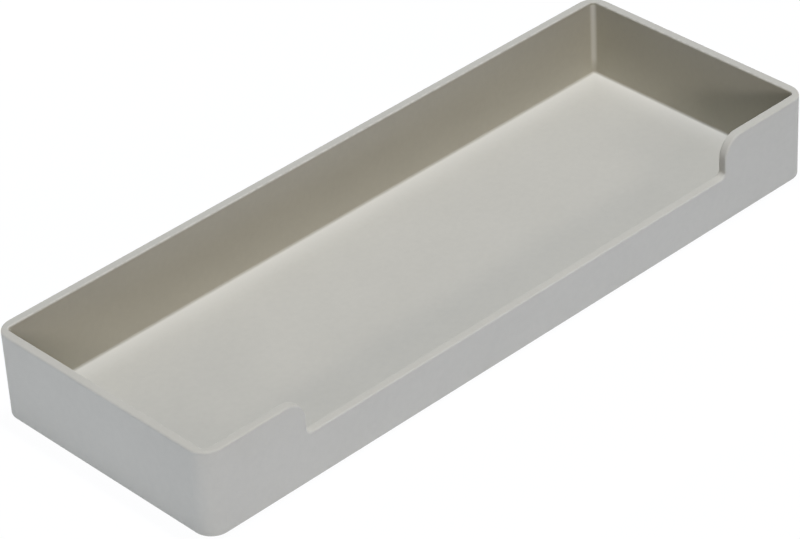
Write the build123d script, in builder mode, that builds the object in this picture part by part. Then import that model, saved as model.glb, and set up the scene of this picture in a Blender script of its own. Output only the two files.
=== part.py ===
"""Pen tray: a moulded desk tray with a low front cut-out, standing on four stuck-on feet.

Millimetres, with +X along the tray, -Y towards the front wall and its cut-out, and +Z up.
The origin lies on the desk, under the middle of the tray.
"""

import os
from math import radians, tan

from build123d import *

# Shell, measured at the rim
LENGTH = 250.0
WIDTH = 90.7
SHELL_HEIGHT = 29.2
RIM_THICKNESS = 3.0
FLOOR_THICKNESS = 2.6

# Draft in degrees, which lets the shell leave its mould: the walls thicken downwards
OUTER_DRAFT = 0.2
INNER_DRAFT = 0.4

# Rounding of the shell
OUTER_CORNER_RADIUS = 6.3
INNER_CORNER_RADIUS = 1.5
RIM_EDGE_RADIUS = 0.6
BASE_EDGE_RADIUS = 0.6
FLOOR_SWEEP_RADIUS = 0.8

# Cut-out in the front wall
END_SHOULDER = 37.7
CUTOUT_DEPTH = 12.9
SHOULDER_RADIUS = 7.0
ROOT_RADIUS = 2.0

# Non-slip feet, each held in a round recess by a disc of adhesive
FOOT_DIAMETER = 10.0
FOOT_STANDOFF = 0.8
FOOT_EDGE_CHAMFER = 0.3
FOOT_INSET = 14.0
FOOT_CLEARANCE = 0.25
RECESS_DEPTH = 0.8
ADHESIVE_THICKNESS = 0.2
ADHESIVE_MARGIN = 0.3

# Mark that the moulding gate leaves under the middle of the floor
GATE_DISH_DIAMETER = 8.0
GATE_DISH_DEPTH = 0.4
GATE_STUB_DIAMETER = 1.8
GATE_STUB_HEIGHT = 0.25

# Largest share of a wall or corner that a rounding may take up
ROUNDING_SHARE = 0.45

# Heights above the desk
BASE_Z = FOOT_STANDOFF
FLOOR_Z = BASE_Z + FLOOR_THICKNESS
RIM_Z = BASE_Z + SHELL_HEIGHT
RECESS_ROOF_Z = BASE_Z + RECESS_DEPTH
GATE_ROOF_Z = BASE_Z + GATE_DISH_DEPTH
FOOT_TOP_Z = RECESS_ROOF_Z - ADHESIVE_THICKNESS

# Sizes that follow from the ones above
INNER_LENGTH = LENGTH - 2 * RIM_THICKNESS
INNER_WIDTH = WIDTH - 2 * RIM_THICKNESS
HOLLOW_DEPTH = RIM_Z - FLOOR_Z
CUTOUT_LENGTH = LENGTH - 2 * END_SHOULDER
FLOOR_CORNER_RADIUS = INNER_CORNER_RADIUS - HOLLOW_DEPTH * tan(radians(INNER_DRAFT))
FOOT_CENTRE_X = LENGTH / 2 - FOOT_INSET
FOOT_CENTRE_Y = WIDTH / 2 - FOOT_INSET
RECESS_RADIUS = FOOT_DIAMETER / 2 + FOOT_CLEARANCE
ADHESIVE_RADIUS = FOOT_DIAMETER / 2 - ADHESIVE_MARGIN

FEET = {
    "front_left_foot": (-FOOT_CENTRE_X, -FOOT_CENTRE_Y),
    "front_right_foot": (FOOT_CENTRE_X, -FOOT_CENTRE_Y),
    "rear_left_foot": (-FOOT_CENTRE_X, FOOT_CENTRE_Y),
    "rear_right_foot": (FOOT_CENTRE_X, FOOT_CENTRE_Y),
}

os.makedirs("parts", exist_ok=True)


# Shell: floor, walls and rim in one moulding
with BuildPart() as tray_shell:
    # The outside is drawn at the rim and drops to the base, drawn in by its draft
    with BuildSketch(Plane.XY.offset(RIM_Z)):
        RectangleRounded(LENGTH, WIDTH, OUTER_CORNER_RADIUS)
    extrude(amount=-SHELL_HEIGHT, taper=OUTER_DRAFT)
    base_face = tray_shell.faces().sort_by(Axis.Z)[0]
    fillet(base_face.edges(), BASE_EDGE_RADIUS)

    # The hollow drops from the rim to the floor, which sweeps up into the walls all round
    with BuildSketch(Plane.XY.offset(RIM_Z)):
        RectangleRounded(INNER_LENGTH, INNER_WIDTH, INNER_CORNER_RADIUS)
    extrude(amount=-HOLLOW_DEPTH, taper=INNER_DRAFT, mode=Mode.SUBTRACT)
    floor_face = tray_shell.faces(Select.LAST).sort_by(Axis.Z)[0]
    fillet(floor_face.edges(), min(FLOOR_SWEEP_RADIUS, 2 * ROUNDING_SHARE * FLOOR_CORNER_RADIUS))

    # The cut-out is a straight gap with rounded roots, and its shoulders are rounded into the rim
    shoulder_radius = min(SHOULDER_RADIUS, 2 * ROUNDING_SHARE * CUTOUT_DEPTH)
    root_radius = min(ROOT_RADIUS, 2 * ROUNDING_SHARE * (CUTOUT_DEPTH - shoulder_radius))
    with BuildSketch(Plane.XZ.offset(WIDTH / 2)) as cutout:
        with Locations((0, RIM_Z)):
            Rectangle(CUTOUT_LENGTH, 2 * CUTOUT_DEPTH)
        fillet(cutout.vertices().group_by(Axis.Y)[0], root_radius)
    extrude(amount=-WIDTH / 2, mode=Mode.SUBTRACT)
    shoulder_edges = tray_shell.edges(Select.LAST).filter_by(Axis.Y).group_by(Axis.Z)[-1]
    fillet(shoulder_edges, shoulder_radius)

    # Both edges of the rim run on round the cut-out without a break, so the rounding that
    # starts on the rear wall follows them all the way
    rim_face = tray_shell.faces().filter_by(Axis.Z).sort_by(Axis.Z)[-1]
    rear_rim_edges = rim_face.edges().filter_by(Axis.X).sort_by(Axis.Y)[-2:]
    fillet(rear_rim_edges, min(RIM_EDGE_RADIUS, ROUNDING_SHARE * RIM_THICKNESS))

    # Recesses under the floor for the feet
    with BuildSketch(Plane.XY.offset(BASE_Z)):
        with Locations(*FEET.values()):
            Circle(RECESS_RADIUS)
    extrude(amount=RECESS_DEPTH, mode=Mode.SUBTRACT)

    # Dish left by the gate, with the trimmed stub inside it
    with BuildSketch(Plane.XY.offset(BASE_Z)):
        Circle(GATE_DISH_DIAMETER / 2)
    extrude(amount=GATE_DISH_DEPTH, mode=Mode.SUBTRACT)
    with BuildSketch(Plane.XY.offset(GATE_ROOF_Z)):
        Circle(GATE_STUB_DIAMETER / 2)
    extrude(amount=-GATE_STUB_HEIGHT)

tray_shell.part.label = "tray_shell"
export_step(tray_shell.part, "parts/tray_shell.step")


# Feet and their adhesive discs, one of each under every corner
for foot_name, foot_centre in FEET.items():
    with BuildPart() as foot:
        with BuildSketch(Plane.XY):
            with Locations(foot_centre):
                Circle(FOOT_DIAMETER / 2)
        extrude(amount=FOOT_TOP_Z)
        desk_face = foot.faces().sort_by(Axis.Z)[0]
        chamfer(desk_face.edges(), min(FOOT_EDGE_CHAMFER, 2 * ROUNDING_SHARE * FOOT_STANDOFF))
    foot.part.label = foot_name
    export_step(foot.part, f"parts/{foot_name}.step")

    with BuildPart() as adhesive:
        with BuildSketch(Plane.XY.offset(FOOT_TOP_Z)):
            with Locations(foot_centre):
                Circle(ADHESIVE_RADIUS)
        extrude(amount=ADHESIVE_THICKNESS)
    adhesive.part.label = f"{foot_name}_adhesive"
    export_step(adhesive.part, f"parts/{foot_name}_adhesive.step")
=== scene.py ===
# %% [markdown]
# # A moulded pen tray
#
# The object is a long, shallow desk tray: one injection moulding in warm light grey plastic, with a low
# cut-out in its front wall, standing on four rubber feet that are stuck into recesses under its floor.
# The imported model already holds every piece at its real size, in metres, with the desk at height zero.
# This lesson gives each surface its finish, then adds the stage, the light and the camera. Every length
# below is in metres too.

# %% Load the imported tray
from math import cos, radians, sin

import bpy
from mathutils import Matrix, Vector


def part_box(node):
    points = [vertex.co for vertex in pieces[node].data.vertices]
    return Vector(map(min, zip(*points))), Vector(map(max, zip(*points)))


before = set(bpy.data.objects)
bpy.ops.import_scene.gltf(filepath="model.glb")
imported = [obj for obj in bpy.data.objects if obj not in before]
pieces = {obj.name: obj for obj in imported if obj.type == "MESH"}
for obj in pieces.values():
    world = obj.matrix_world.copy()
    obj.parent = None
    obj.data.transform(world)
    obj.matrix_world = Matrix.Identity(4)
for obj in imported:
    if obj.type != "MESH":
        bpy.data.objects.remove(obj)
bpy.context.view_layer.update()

print("pieces:", ", ".join(sorted(pieces)))

# %% [markdown]
# ## Shader maths as plain expressions
#
# A finish is a small calculation: take a noise, stretch it, add it to a roughness. Wiring that by hand
# takes one node and two links for each sign. Here a class wraps a socket, so that `0.5 + 0.1 * noise` adds
# the Math nodes by itself, and one method makes every other kind of node from its type, its settings and
# its inputs.

# %% A socket that can be calculated with
class Value:
    """One output of a node. Arithmetic on it adds Math nodes to the same tree."""

    def __init__(self, tree, socket):
        self.tree = tree
        self.socket = socket

    def math(self, operation, first, second):
        return self.tree.node("ShaderNodeMath", {"operation": operation}, {0: first, 1: second})

    def __add__(self, other):
        return self.math("ADD", self, other)

    def __radd__(self, other):
        return self.math("ADD", other, self)

    def __sub__(self, other):
        return self.math("SUBTRACT", self, other)

    def __rsub__(self, other):
        return self.math("SUBTRACT", other, self)

    def __mul__(self, other):
        return self.math("MULTIPLY", self, other)

    def __rmul__(self, other):
        return self.math("MULTIPLY", other, self)

    def __lt__(self, other):
        return self.math("LESS_THAN", self, other)

    def __gt__(self, other):
        return self.math("GREATER_THAN", self, other)

    def __abs__(self):
        return self.math("ABSOLUTE", self, 0)

    def root(self):
        return self.math("SQRT", self, 0)

    def larger(self, other):
        return self.math("MAXIMUM", self, other)

    def smaller(self, other):
        return self.math("MINIMUM", self, other)


print("values can be added, multiplied and compared")

# %% A tree that makes its nodes
class Tree:
    """A node tree that is written as expressions."""

    def __init__(self, node_tree):
        self.nodes = node_tree.nodes
        self.links = node_tree.links

    def node(self, kind, settings=None, inputs=None, output=0):
        made = self.nodes.new(kind)
        for name, setting in (settings or {}).items():
            setattr(made, name, setting)
        for key, value in (inputs or {}).items():
            self.feed(made, key, value)
        return Value(self, made.outputs[output])

    def feed(self, node, key, value):
        """Links a Value to an input, or sets a plain number or colour on it."""
        if isinstance(key, str):
            socket = next(s for s in node.inputs if s.name == key and s.enabled)
        else:
            socket = node.inputs[key]
        if isinstance(value, Value):
            self.links.new(value.socket, socket)
        else:
            socket.default_value = value

    def axes(self, place):
        """The three coordinates of a place."""
        return [self.node("ShaderNodeSeparateXYZ", None, {"Vector": place}, axis) for axis in "XYZ"]

    def noise(self, place, pitch, detail):
        """Soft noise from 0 to 1, with features about `pitch` metres across."""
        inputs = {"Vector": place, "Scale": 1 / pitch, "Detail": detail}
        return self.node("ShaderNodeTexNoise", None, inputs)

    def ramp(self, value, low, high):
        """0 below `low`, 1 above `high`, and a smooth step between."""
        inputs = {"Value": value, "From Min": low, "From Max": high}
        return self.node("ShaderNodeMapRange", {"interpolation_type": "SMOOTHSTEP"}, inputs)

    def blend(self, share, first, second):
        """The first colour, with a share of the second mixed in."""
        inputs = {"Factor": share, "A": first, "B": second}
        return self.node("ShaderNodeMix", {"data_type": "RGBA"}, inputs, "Result")

    def bump(self, height, depth, strength):
        """A normal for a surface that rises by `depth` metres as `height` goes from 0 to 1."""
        inputs = {"Strength": strength, "Distance": depth, "Height": height}
        return self.node("ShaderNodeBump", None, inputs)


def new_finish(name):
    """A new material, its tree and its Principled shader."""
    material = bpy.data.materials.new(name)
    material.use_nodes = True
    return material, Tree(material.node_tree), material.node_tree.nodes["Principled BSDF"]


print("shader helpers ready")

# %% [markdown]
# ## Marks of use, and painted light
#
# Four places of the shell differ from the rest. The rim is a little smoother and darker. Its inner edge is
# paler in patches: partly burnished by pens, partly a painted highlight where the rounding catches the
# light.
# The floor right beside a wall is paler: painted light, as if it pooled along the crease. Each of the four
# upright inner corners has a light stripe up it: a painted highlight of the light on its curve.
#
# All four could be painted masks, but those need a UV map, so they are calculated from the place alone. The
# rim needs only its height. The other three need the faces of the hollow, which lie one wall's thickness
# inside the box of the shell.

# %% Faces of the hollow
WALL = 0.003
CORNER_RADIUS = 0.0015
EDGE_RADIUS = 0.0006
HOLLOW_FLOOR = 0.0034

far_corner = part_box("tray_shell")[1]
hollow_end = far_corner.x - WALL
hollow_side = far_corner.y - WALL
rim_top = far_corner.z
print("hollow:", round(2 * hollow_end, 4), "by", round(2 * hollow_side, 4), "m, rim at", round(rim_top, 4))

# %% Inner edge of the rim: burnished patches and a painted highlight
WEAR_AND_HIGHLIGHT_ABOVE = 0.028
WEAR_AND_HIGHLIGHT_FROM, WEAR_AND_HIGHLIGHT_FULL = 0.35, 0.65


# Partly wear, partly painted highlight: the pale patches stand in for pen wear and for the light that the
# rounding catches.
def worn_and_highlit_edge(tree, x, y, z, speckle):
    """1 in patches on the rounding between the hollow and the rim, where the wall has only just begun."""
    beyond_x = (abs(x) - (hollow_end - CORNER_RADIUS)).larger(0)
    beyond_y = (abs(y) - (hollow_side - CORNER_RADIUS)).larger(0)
    into_wall = (beyond_x * beyond_x + beyond_y * beyond_y).root() - CORNER_RADIUS
    past_edge = tree.ramp(into_wall, EDGE_RADIUS / 2, EDGE_RADIUS)
    on_edge = tree.ramp(into_wall, 0, EDGE_RADIUS / 4) * (1 - past_edge) * (z > WEAR_AND_HIGHLIGHT_ABOVE)
    return on_edge * tree.ramp(speckle, WEAR_AND_HIGHLIGHT_FROM, WEAR_AND_HIGHLIGHT_FULL)


print("the rim's inner edge is worn above", WEAR_AND_HIGHLIGHT_ABOVE)

# %% Painted light on the floor beside the walls
CREASE_LIGHT_WIDTH = 0.012
CREASE_LIGHT_RISE = 0.0003
UNDERSIDE_BELOW = 0.002


# Painted light: the paler band stands in for light pooling along the creases between floor and walls.
def painted_crease_light(tree, x, y, z):
    """1 where the floor of the hollow meets a wall, falling to 0 on the open floor."""
    from_wall = (hollow_end - abs(x)).smaller(hollow_side - abs(y))
    nearness = (1 - from_wall * (1 / CREASE_LIGHT_WIDTH)).larger(0)
    below_walls = 1 - tree.ramp(z, HOLLOW_FLOOR, HOLLOW_FLOOR + CREASE_LIGHT_RISE)
    return nearness * nearness * (from_wall > 0) * (z > UNDERSIDE_BELOW) * below_walls


print("the floor is paler up to", CREASE_LIGHT_WIDTH, "from a wall")

# %% Painted highlight stripes in the inner corners
HIGHLIGHT_REACH = 0.0019
HIGHLIGHT_FROM, HIGHLIGHT_FULL = 0.0045, 0.01
HIGHLIGHT_BELOW_RIM = 0.001


# Painted highlight: the pale stripe stands in for the light that each inner corner's curve catches.
def painted_corner_highlight(tree, x, y, z):
    """1 half-way round each upright inner corner of the hollow, 0 outside the corners and near the floor.

    Past a line a little before the corner's curve, the product of the distances along the two walls is
    largest half-way round it.
    """
    painted_stripe = tree.ramp(z, HIGHLIGHT_FROM, HIGHLIGHT_FULL) * (z < rim_top - HIGHLIGHT_BELOW_RIM)
    at_half_way = HIGHLIGHT_REACH - (1 - cos(radians(45))) * CORNER_RADIUS
    for along, wall_face in ((x, hollow_end), (y, hollow_side)):
        past_start = (abs(along) - (wall_face - HIGHLIGHT_REACH)).larger(0) * (1 / at_half_way)
        painted_stripe = painted_stripe * past_start * (abs(along) < wall_face)
    return painted_stripe


print("the stripes start", HIGHLIGHT_REACH, "before a corner")

# %% [markdown]
# ## Matt moulded plastic
#
# The mould of a desk tray is spark-eroded, which leaves a fine, even grain on the plastic: too fine to see
# as a pattern, but it dulls the surface and spreads every highlight. A photograph of a grain would repeat
# over such a long tray, so the grain is a procedural noise a third of a millimetre across that drives a
# Bump node. With two slower noises it also shifts the colour by a few parts in a hundred, as pigment and
# flow do. The four marks are then blended over that colour: a darker rim, painted light on the floor beside
# the walls, painted highlights in the inner corners, and a worn edge with a painted highlight.

# %% The plastic of the shell
PLASTIC_LIGHT = (0.562, 0.54, 0.454, 1)
PLASTIC_DARK = (0.478, 0.46, 0.386, 1)
PLASTIC_RIM_DARK = (0.45, 0.433, 0.362, 1)
PLASTIC_CREASE_LIGHT = (0.619, 0.597, 0.512, 1)
PLASTIC_CORNER_HIGHLIGHT = (0.72, 0.71, 0.645, 1)
PLASTIC_WORN_AND_HIGHLIT = (0.585, 0.565, 0.48, 1)
PLASTIC_IOR = 1.5
PLASTIC_SPECULAR = 0.2
FLOW_PITCH, FLOW_SHARE = 0.022, 0.4
SPECKLE_PITCH, SPECKLE_SHARE = 0.002, 0.4
GRAIN_PITCH, GRAIN_SHARE = 0.00035, 0.2
GRAIN_DEPTH, GRAIN_STRENGTH = 0.00004, 0.5
COARSE_DETAIL, FINE_DETAIL = 3.0, 2.0
RIM_BAND, RIM_DARKENING, RIM_POLISH = 0.0015, 0.15, 0.03
MATT, MATT_SPREAD = 0.53, 0.06
WEAR_AND_HIGHLIGHT_GLOSS = 0.12


def tray_plastic():
    material, tree, surface = new_finish("tray_plastic")
    place = tree.node("ShaderNodeTexCoord", output="Object")
    x, y, z = tree.axes(place)
    flow = tree.noise(place, FLOW_PITCH, COARSE_DETAIL)
    speckle = tree.noise(place, SPECKLE_PITCH, FINE_DETAIL)
    grain = tree.noise(place, GRAIN_PITCH, FINE_DETAIL)
    rim = tree.ramp(z, rim_top - RIM_BAND, rim_top)
    wear_and_highlight = worn_and_highlit_edge(tree, x, y, z, speckle)

    pigment = FLOW_SHARE * flow + SPECKLE_SHARE * speckle + GRAIN_SHARE * grain
    colour = tree.blend(pigment, PLASTIC_DARK, PLASTIC_LIGHT)
    # The rim is blended a little darker.
    colour = tree.blend(RIM_DARKENING * rim, colour, PLASTIC_RIM_DARK)
    # Painted light: paler floor beside the walls.
    colour = tree.blend(painted_crease_light(tree, x, y, z), colour, PLASTIC_CREASE_LIGHT)
    # Painted highlight: a pale stripe up each inner corner.
    colour = tree.blend(painted_corner_highlight(tree, x, y, z), colour, PLASTIC_CORNER_HIGHLIGHT)
    # Wear and painted highlight: pale patches on the rim's inner edge.
    colour = tree.blend(wear_and_highlight, colour, PLASTIC_WORN_AND_HIGHLIT)
    tree.feed(surface, "Base Color", colour)
    tree.feed(surface, "Roughness", MATT + MATT_SPREAD * flow - RIM_POLISH * rim - WEAR_AND_HIGHLIGHT_GLOSS * wear_and_highlight)
    tree.feed(surface, "Normal", tree.bump(grain, GRAIN_DEPTH, GRAIN_STRENGTH))
    surface.inputs["IOR"].default_value = PLASTIC_IOR
    surface.inputs["Specular IOR Level"].default_value = PLASTIC_SPECULAR
    return material


shell_finish = tray_plastic()
print("finish:", shell_finish.name)

# %% [markdown]
# ## Rubber feet and their adhesive
#
# The feet are punched from a sheet of dark grey rubber, so they are dull, with a coarser tooth than the
# tray. The adhesive disc above each foot is a thin, milky film that only shows from below, at the edge of a
# recess. Both could be plain colours, since they are hidden, but the part is also looked at from below, so
# each gets a cloudy noise in its colour and roughness, and the rubber its own bump.

# %% The rubber of the feet
RUBBER_DARK = (0.085, 0.085, 0.082, 1)
RUBBER_LIGHT = (0.135, 0.134, 0.128, 1)
RUBBER_MATT, RUBBER_SPREAD = 0.78, 0.12
TOOTH_PITCH = 0.0006
TOOTH_DEPTH, TOOTH_STRENGTH = 0.00004, 0.6
CLOUD_PITCH = 0.003


def foot_rubber():
    material, tree, surface = new_finish("foot_rubber")
    place = tree.node("ShaderNodeTexCoord", output="Object")
    tooth = tree.noise(place, TOOTH_PITCH, COARSE_DETAIL)
    cloud = tree.noise(place, CLOUD_PITCH, FINE_DETAIL)
    even_mix = 0.5 * tooth + 0.5 * cloud
    tree.feed(surface, "Base Color", tree.blend(even_mix, RUBBER_DARK, RUBBER_LIGHT))
    tree.feed(surface, "Roughness", RUBBER_MATT + RUBBER_SPREAD * cloud)
    tree.feed(surface, "Normal", tree.bump(tooth, TOOTH_DEPTH, TOOTH_STRENGTH))
    return material


foot_finish = foot_rubber()
print("finish:", foot_finish.name)

# %% The film of the adhesive
FILM_CLEAR = (0.78, 0.76, 0.69, 1)
FILM_CLOUDY = (0.71, 0.69, 0.62, 1)
FILM_GLOSS, FILM_SPREAD = 0.2, 0.15


def foot_adhesive():
    material, tree, surface = new_finish("foot_adhesive")
    place = tree.node("ShaderNodeTexCoord", output="Object")
    cloud = tree.noise(place, CLOUD_PITCH, FINE_DETAIL)
    tree.feed(surface, "Base Color", tree.blend(cloud, FILM_CLEAR, FILM_CLOUDY))
    tree.feed(surface, "Roughness", FILM_GLOSS + FILM_SPREAD * cloud)
    return material


film_finish = foot_adhesive()
print("finish:", film_finish.name)

# %% [markdown]
# ## Dressing the pieces
#
# The solids already have the right shape and smooth normals, so nothing is remodelled: each piece keeps its
# mesh and only gets its finish. The name of a piece says which of the three it is.

# %% Give every piece its finish
def finish_for(name):
    if name.endswith("_adhesive"):
        return film_finish
    if name.endswith("_foot"):
        return foot_finish
    return shell_finish


for name, piece in pieces.items():
    piece.material_slots[0].material = finish_for(name)
    print(name, "is finished in", piece.material_slots[0].material.name)

# %% [markdown]
# ## Stage
#
# The tray stands on a light table, a pale sheet that glows by itself. The glow lights the outer walls right
# down to their base, which lamps can't do, because the tray shades the floor beside it. Rays from the
# camera see the floor and the sky as white, with a small share of the real floor left in so that the tray
# keeps its shadow. Rays that carry light see a nearly black sky, so that the table and the lamps alone
# shape the tray.

# %% Floor
FLOOR_HALF = 3.0
FLOOR_COLOUR = (0.45, 0.45, 0.45, 1)
GLOW_COLOUR = (0.79, 0.86, 1.0, 1)
GLOW_LEVEL = 0.7
WHITE = (1, 1, 1, 1)
SHADOW_SHARE = 0.06


def seen_directly(tree):
    """1 for rays that show the stage by sight, gloss or glass, and 0 for those that light the tray."""
    sight, gloss, glass = (tree.node("ShaderNodeLightPath", output=f"Is {kind} Ray")
                           for kind in ("Camera", "Glossy", "Transmission"))
    return sight.larger(gloss).larger(glass)


def floor_paint():
    material, tree, surface = new_finish("floor_paint")
    surface.inputs["Base Color"].default_value = FLOOR_COLOUR
    surface.inputs["Roughness"].default_value = 1.0
    surface.inputs["Specular IOR Level"].default_value = 0.0
    surface.inputs["Emission Color"].default_value = GLOW_COLOUR
    surface.inputs["Emission Strength"].default_value = GLOW_LEVEL
    white = tree.node("ShaderNodeEmission", None, {"Color": WHITE, "Strength": 1.0})
    share = (1 - SHADOW_SHARE) * seen_directly(tree)
    paint = Value(tree, surface.outputs[0])
    mixed = tree.node("ShaderNodeMixShader", None, {0: share, 1: paint, 2: white})
    tree.feed(material.node_tree.nodes["Material Output"], "Surface", mixed)
    return material


floor_mesh = bpy.data.meshes.new("floor")
floor_corners = [(x * FLOOR_HALF, y * FLOOR_HALF, 0) for x, y in ((-1, -1), (1, -1), (1, 1), (-1, 1))]
floor_mesh.from_pydata(floor_corners, [], [(0, 1, 2, 3)])
floor_mesh.materials.append(floor_paint())
floor = bpy.data.objects.new("floor", floor_mesh)
bpy.context.scene.collection.objects.link(floor)
print("floor:", 2 * FLOOR_HALF, "m across")

# %% Sky
SKY_LEVEL = 0.003

sky = bpy.data.worlds.new("sky")
sky.use_nodes = True
sky_tree = Tree(sky.node_tree)
background = sky.node_tree.nodes["Background"]
background.inputs["Strength"].default_value = SKY_LEVEL
dim = Value(sky_tree, background.outputs[0])
bright = sky_tree.node("ShaderNodeBackground", None, {"Color": WHITE, "Strength": 1.0})
sky_mixed = sky_tree.node("ShaderNodeMixShader", None, {0: seen_directly(sky_tree), 1: dim, 2: bright})
sky_tree.feed(sky.node_tree.nodes["World Output"], "Surface", sky_mixed)
bpy.context.scene.world = sky
print("sky: lights at", SKY_LEVEL)

# %% [markdown]
# ## Light
#
# The photograph has bright top faces, dark inner walls and even outer walls. An overhead lamp, high and
# almost straight above, lights the floor and only grazes the inner walls. It is narrow along the tray, so
# that the right wall shades little of the floor beside it. Two small softboxes, low in front and to the
# left, shine over the cut-out and lift the rear wall. Strips as low as the rim stand around the tray. They
# light the outer walls, and the walls keep them out of the hollow. Every lamp is an area light, so all
# shadows are soft.

# %% A lamp and its direction
def toward(azimuth, elevation):
    """A direction away from the tray: azimuth 0 is straight in front, and grows to the right."""
    reach = cos(elevation)
    return Vector((sin(azimuth) * reach, -cos(azimuth) * reach, sin(elevation)))


def add_lamp(name, at, target, size, watts, colour):
    lamp = bpy.data.lights.new(name, "AREA")
    lamp.shape = "RECTANGLE"
    lamp.size, lamp.size_y = size
    lamp.energy = watts
    lamp.color = colour
    holder = bpy.data.objects.new(name, lamp)
    holder.location = at
    holder.rotation_euler = (at - target).to_track_quat("Z", "Y").to_euler()
    holder.visible_camera = False
    bpy.context.scene.collection.objects.link(holder)
    print(name, watts, "W")


print("lamps can be hung")

# %% Overhead lamp
OVERHEAD_FOOT = Vector((0.12, 0, 0))
OVERHEAD_HEIGHT = 1.6
OVERHEAD_SIZE = (0.1, 0.25)
OVERHEAD_WATTS = 25.4
OVERHEAD_COLOUR = (0.843, 0.878, 1.0)

overhead_place = OVERHEAD_FOOT + Vector((0, 0, OVERHEAD_HEIGHT))
add_lamp("overhead", overhead_place, OVERHEAD_FOOT, OVERHEAD_SIZE, OVERHEAD_WATTS, OVERHEAD_COLOUR)

# %% Softboxes, each with its azimuth, elevation and watts
SOFTBOXES = {
    "left_softbox": (radians(-30), radians(18), 0.9),
    "front_softbox": (radians(0), radians(25), 0.81),
}
SOFTBOX_DISTANCE = 0.8
SOFTBOX_SIZE = (0.22, 0.1)
SOFTBOX_COLOUR = (1.0, 0.924, 0.88)
TRAY_MIDDLE = Vector((0, 0, 0.015))

for name, (azimuth, elevation, watts) in SOFTBOXES.items():
    stand = SOFTBOX_DISTANCE * toward(azimuth, elevation)
    add_lamp(name, stand, TRAY_MIDDLE, SOFTBOX_SIZE, watts, SOFTBOX_COLOUR)

# %% Strips, each with its place on the floor, its length and height, its watts and its colour
BLUE = (0.33, 0.48, 1.0)
COOL = (0.676, 0.75, 1.0)
WARM = (1.0, 0.95, 0.9)
STRIPS = {
    "front_strip": ((0, -0.12), (0.4, 0.016), 0.03, BLUE),
    "left_strip": ((-0.235, 0.02), (0.2, 0.03), 0.05, COOL),
    "rear_strip": ((0, 0.25), (0.3, 0.03), 0.08, WARM),
    "right_strip": ((0.33, 0), (0.12, 0.03), 0.04, WARM),
}

for name, ((x, y), size, watts, colour) in STRIPS.items():
    middle = size[1] / 2
    target = Vector((0, y, middle)) if abs(x) > abs(y) else Vector((x, 0, middle))
    add_lamp(name, Vector((x, y, middle)), target, size, watts, colour)

# %% [markdown]
# ## Camera
#
# The tray is photographed from its left front corner, from above, with a long lens: the edges converge only
# slightly. The camera stands on a sphere around a point on the tray's base, given by its two angles and its
# distance, and is rolled a little, as the photograph's upright edges show. A Track To constraint would keep
# it level, so its three axes are written into its matrix instead.

# %% Place the camera
CAMERA_AZIMUTH = radians(-42.487)
CAMERA_ELEVATION = radians(34.431)
CAMERA_ROLL = radians(-3.239)
CAMERA_DISTANCE = 1.10843
CAMERA_AIM = Vector((0.00247, 0.01098, 0.0008))
LENS_MM = 164.48
SENSOR_MM = 36.0

camera = bpy.data.cameras.new("camera")
camera.lens = LENS_MM
camera.sensor_width = SENSOR_MM
viewer = bpy.data.objects.new("camera", camera)
away = toward(CAMERA_AZIMUTH, CAMERA_ELEVATION)
level = Vector((cos(CAMERA_AZIMUTH), sin(CAMERA_AZIMUTH), 0))
upright = away.cross(level)
right = level * cos(CAMERA_ROLL) + upright * sin(CAMERA_ROLL)
top = upright * cos(CAMERA_ROLL) - level * sin(CAMERA_ROLL)
turn = Matrix((right, top, away)).transposed().to_4x4()
viewer.matrix_world = Matrix.Translation(CAMERA_AIM + CAMERA_DISTANCE * away) @ turn
bpy.context.scene.collection.objects.link(viewer)
bpy.context.scene.camera = viewer
bpy.context.scene.view_settings.view_transform = "Standard"
print("camera at", [round(value, 3) for value in viewer.location])
